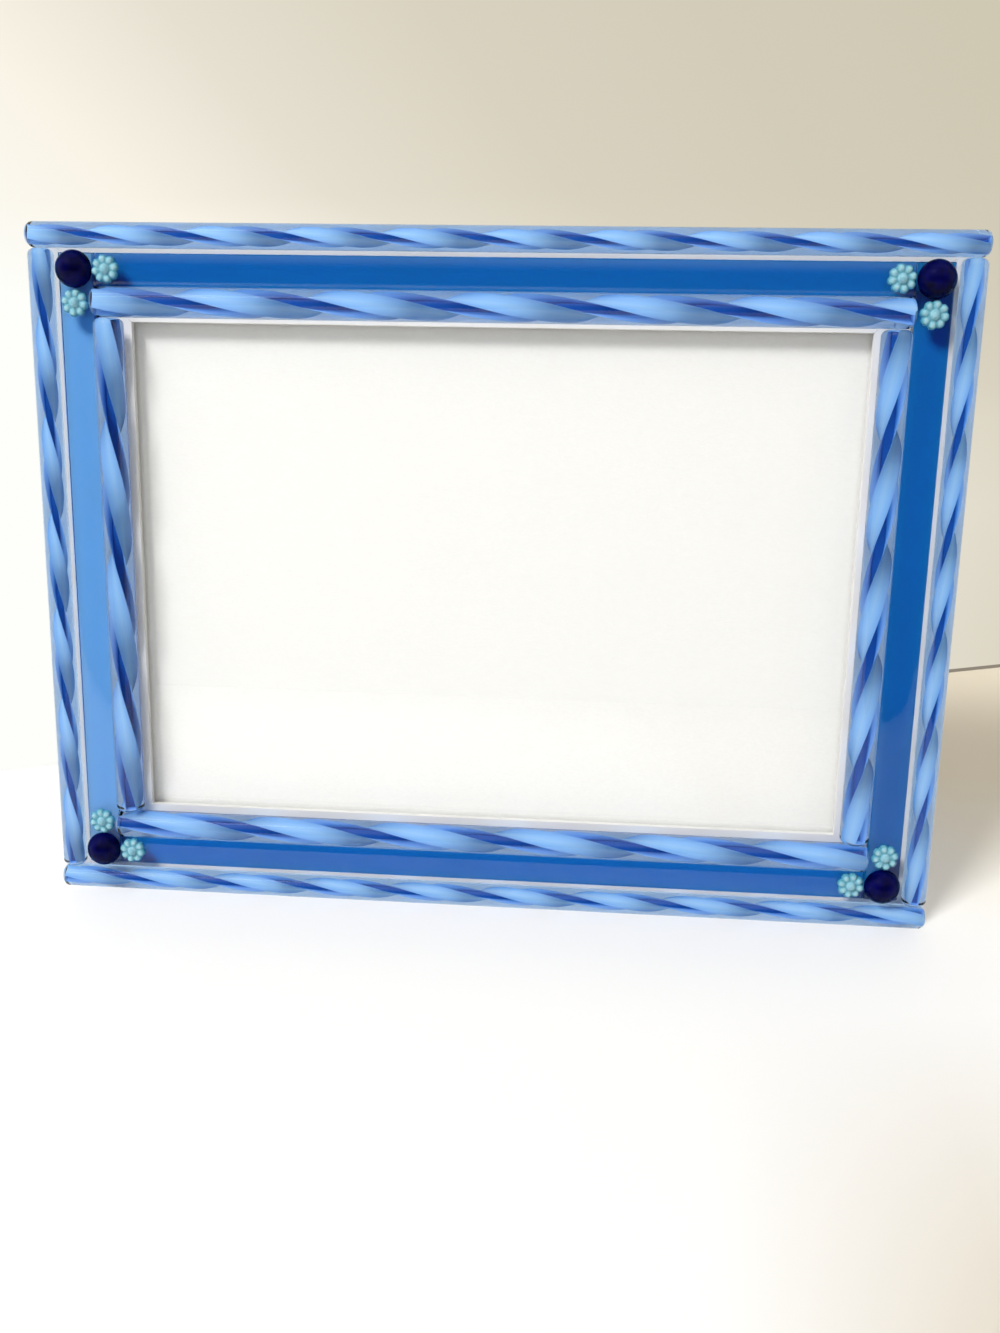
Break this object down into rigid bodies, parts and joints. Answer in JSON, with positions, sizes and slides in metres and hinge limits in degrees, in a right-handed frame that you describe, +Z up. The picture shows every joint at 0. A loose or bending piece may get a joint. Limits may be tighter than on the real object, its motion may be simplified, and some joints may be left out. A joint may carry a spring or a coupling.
{
  "type": "glass picture frame",
  "caption": "Landscape picture frame faced with twisted blue glass canes, flat blue strips and glass beads, on a folding easel strut.",
  "frame": {"origin": "middle of the underside of the standing frame's box, on the table", "axes": "+X to the right as seen from the front, +Y to the back, +Z up; the front leans back by 13 degrees"},
  "size_m": [0.213, 0.07, 0.1581],
  "materials": {
    "cane_glass": "clear round cane with a twisted light blue ribbon inside, fire polished",
    "strip_glass": "deep blue transparent flat glass, polished edges",
    "navy_glass": "almost black navy domed glass bead, polished",
    "turquoise_glass": "opal turquoise pressed glass flower",
    "white_lacquer": "white lacquered wood, satin",
    "pane_glass": "clear 2 mm float glass",
    "white_card": "blank white foam card, matt",
    "hardboard": "brown hardboard, smooth face",
    "black_velour": "short black velour flock",
    "zinc_steel": "zinc plated pressed steel",
    "nickel": "nickel plated rivets and screws"
  },
  "bodies": {
    "frame": {"outer_cane_top": "cane_glass", "outer_cane_bottom": "cane_glass", "outer_cane_left": "cane_glass", "outer_cane_right": "cane_glass", "inner_cane_top": "cane_glass", "inner_cane_bottom": "cane_glass", "inner_cane_left": "cane_glass", "inner_cane_right": "cane_glass", "strip_top": "strip_glass", "strip_bottom": "strip_glass", "strip_left": "strip_glass", "strip_right": "strip_glass", "corner_dome_top_left": "navy_glass", "corner_dome_top_right": "navy_glass", "corner_dome_bottom_left": "navy_glass", "corner_dome_bottom_right": "navy_glass", "rosette_top_left_a": "turquoise_glass", "rosette_top_left_b": "turquoise_glass", "rosette_top_right_a": "turquoise_glass", "rosette_top_right_b": "turquoise_glass", "rosette_bottom_left_a": "turquoise_glass", "rosette_bottom_left_b": "turquoise_glass", "rosette_bottom_right_a": "turquoise_glass", "rosette_bottom_right_b": "turquoise_glass", "carrier_rail_top": "white_lacquer", "carrier_rail_bottom": "white_lacquer", "carrier_rail_left": "white_lacquer", "carrier_rail_right": "white_lacquer", "mitre_nails": "zinc_steel", "glass_pane": "pane_glass", "blank_card": "white_card", "back_board": "hardboard", "board_lining": "black_velour", "hinge_plate": "zinc_steel", "hinge_pin": "zinc_steel", "plate_rivets": "nickel", "turn_button_screws": "nickel"},
    "strut": {"strut_board": "hardboard", "strut_lining": "black_velour", "strut_channel": "zinc_steel", "channel_rivets": "nickel"},
    "turn_button_top_left": {"turn_button_top_left": "zinc_steel"},
    "turn_button_top_right": {"turn_button_top_right": "zinc_steel"},
    "turn_button_bottom_left": {"turn_button_bottom_left": "zinc_steel"},
    "turn_button_bottom_right": {"turn_button_bottom_right": "zinc_steel"}
  },
  "joints": [
    {"name": "strut_hinge", "type": "hinge", "parent": "frame", "child": "strut", "pos_m": [0, 0.0086, 0.10582], "axis": [1, 0, 0], "range_deg": [-26, 0]},
    {"name": "turn_top_left", "type": "hinge", "parent": "frame", "child": "turn_button_top_left", "pos_m": [-0.058, 0.01469, 0.14773], "axis": [0, 0.9744, -0.225], "range_deg": [-90, 90]},
    {"name": "turn_top_right", "type": "hinge", "parent": "frame", "child": "turn_button_top_right", "pos_m": [0.058, 0.01469, 0.14773], "axis": [0, 0.9744, -0.225], "range_deg": [-90, 90]},
    {"name": "turn_bottom_left", "type": "hinge", "parent": "frame", "child": "turn_button_bottom_left", "pos_m": [-0.058, -0.01793, 0.00645], "axis": [0, 0.9744, -0.225], "range_deg": [-90, 90]},
    {"name": "turn_bottom_right", "type": "hinge", "parent": "frame", "child": "turn_button_bottom_right", "pos_m": [0.058, -0.01793, 0.00645], "axis": [0, 0.9744, -0.225], "range_deg": [-90, 90]}
  ]
}
